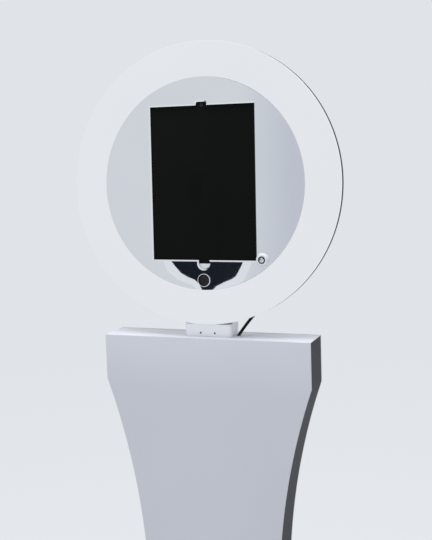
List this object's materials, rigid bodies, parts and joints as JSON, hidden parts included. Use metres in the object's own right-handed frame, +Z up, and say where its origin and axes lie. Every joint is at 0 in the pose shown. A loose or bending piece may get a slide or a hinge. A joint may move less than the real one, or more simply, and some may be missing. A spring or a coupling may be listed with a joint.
{
  "type": "photo booth",
  "caption": "Free-standing photo booth: a ring light with a mirror face and a tablet behind its window, on a tilting bracket over a flat hourglass stand.",
  "frame": {"origin": "on the floor, under the middle of the stand and of its base plate", "axes": "+Z up, the user stands in front at -Y, +X to the user's right when facing the mirror"},
  "size_m": [0.4336, 0.32, 1.4539],
  "materials": {
    "base_steel": "textured white powder coat on steel plate",
    "black_plastic": "satin black moulding",
    "bracket_white": "smooth bright white paint on a casting",
    "brass": "bright brass",
    "cable_black": "black cable jacket",
    "chrome": "polished chrome",
    "circuit_white": "white solder mask",
    "dark_steel": "blackened steel",
    "front_white": "satin white powder coat",
    "gloss_black": "gloss black moulding",
    "inner_white": "plain white moulding",
    "lamp_yellow": "phosphor lamp chips",
    "mirror": "silvered acrylic with a polished bevel",
    "opal_white": "opal diffuser, lit from inside",
    "rubber": "matt black rubber",
    "screen_glass": "black glass over a dark screen",
    "shell_black": "fine matt moulded black",
    "side_graphite": "satin graphite powder coat",
    "steel": "zinc plated steel",
    "tablet_metal": "bead blasted grey aluminium"
  },
  "bodies": {
    "stand": {"bracket": "bracket_white", "grub_screws": "dark_steel", "tilt_bolt": "steel", "friction_washers": "rubber", "front_panel": "front_white", "back_panel": "front_white", "side_right": "side_graphite", "side_left": "side_graphite", "panel_screws": "steel", "top_plate": "front_white", "mount_plate": "steel", "lead_grommet": "inner_white", "supply_shelf": "steel", "power_supply": "dark_steel", "power_inlet": "black_plastic", "inlet_pins": "brass", "hinge_leaves_fixed": "steel", "hinge_pins": "steel", "bottom_plate": "steel", "base_plate": "base_steel", "feet": "rubber", "stand_bolts": "steel", "lead": "cable_black"},
    "head": {"light_diffuser": "opal_white", "light_channel": "inner_white", "led_board": "circuit_white", "leds": "lamp_yellow", "rear_shell": "shell_black", "back_screws": "dark_steel", "service_cover": "shell_black", "tablet_body": "tablet_metal", "tablet_glass": "screen_glass", "tablet_tray": "inner_white", "tray_pads": "rubber", "standoffs": "steel", "tray_screws": "steel", "stud_sockets": "black_plastic", "led_driver": "black_plastic", "dimmer_body": "steel", "lead_gland": "black_plastic", "tilt_lug": "dark_steel", "lug_bolts": "steel"},
    "face": {"mirror_panel": "mirror", "face_studs": "steel", "lock_collar": "inner_white", "lock_barrel": "chrome", "lock_ring": "steel", "button_bezel": "chrome", "button_nut": "steel", "button_switch": "black_plastic"},
    "lock": {"lock_core": "chrome", "lock_cam": "steel"},
    "button": {"button_cap": "gloss_black"},
    "jaw": {"top_jaw": "inner_white"},
    "dimmer": {"dimmer_knob": "black_plastic"},
    "tilt_clamp": {"tilt_knob": "black_plastic"},
    "door": {"rear_door": "front_white", "hinge_leaves_door": "steel"},
    "latch": {"door_latch": "black_plastic"},
    "rocker": {"power_rocker": "gloss_black"}
  },
  "joints": [
    {"name": "head_tilt", "type": "hinge", "parent": "stand", "child": "head", "pos_m": [0, 0.03553, 1.0852], "axis": [-1, 0, 0], "range_deg": [0, 20]},
    {"name": "tilt_knob_turn", "type": "hinge", "parent": "stand", "child": "tilt_clamp", "pos_m": [0.0313, 0.03553, 1.0852], "axis": [1, 0, 0], "range_deg": [0, 180]},
    {"name": "face_lift_off", "type": "slide", "parent": "head", "child": "face", "axis": [0, -0.9993, 0.0372], "range_m": [0, 0.06]},
    {"name": "lock_turn", "type": "hinge", "parent": "face", "child": "lock", "pos_m": [0.0958, -0.01612, 1.12224], "axis": [0, -0.9993, 0.0372], "range_deg": [0, 90]},
    {"name": "button_press", "type": "slide", "parent": "face", "child": "button", "axis": [0, 0.9993, -0.0372], "range_m": [0, 0.002], "stiffness_N_per_m": 400, "springref_m": -0.001},
    {"name": "jaw_slide", "type": "slide", "parent": "head", "child": "jaw", "axis": [0, 0.0372, 0.9993], "range_m": [0, 0.012]},
    {"name": "dimmer_turn", "type": "hinge", "parent": "head", "child": "dimmer", "pos_m": [0.07, 0.02403, 1.12565], "axis": [0, 0.9993, -0.0372], "range_deg": [0, 270]},
    {"name": "door_swing", "type": "hinge", "parent": "stand", "child": "door", "pos_m": [-0.0855, 0.0355, 0.59], "axis": [0, 0, 1], "range_deg": [0, 120]},
    {"name": "latch_turn", "type": "hinge", "parent": "door", "child": "latch", "pos_m": [0.068, 0.0315, 0.59], "axis": [0, -1, 0], "range_deg": [0, 90]},
    {"name": "rocker_throw", "type": "hinge", "parent": "stand", "child": "rocker", "pos_m": [-0.018, 0.0296, 0.905], "axis": [-1, 0, 0], "range_deg": [0, 24]}
  ]
}
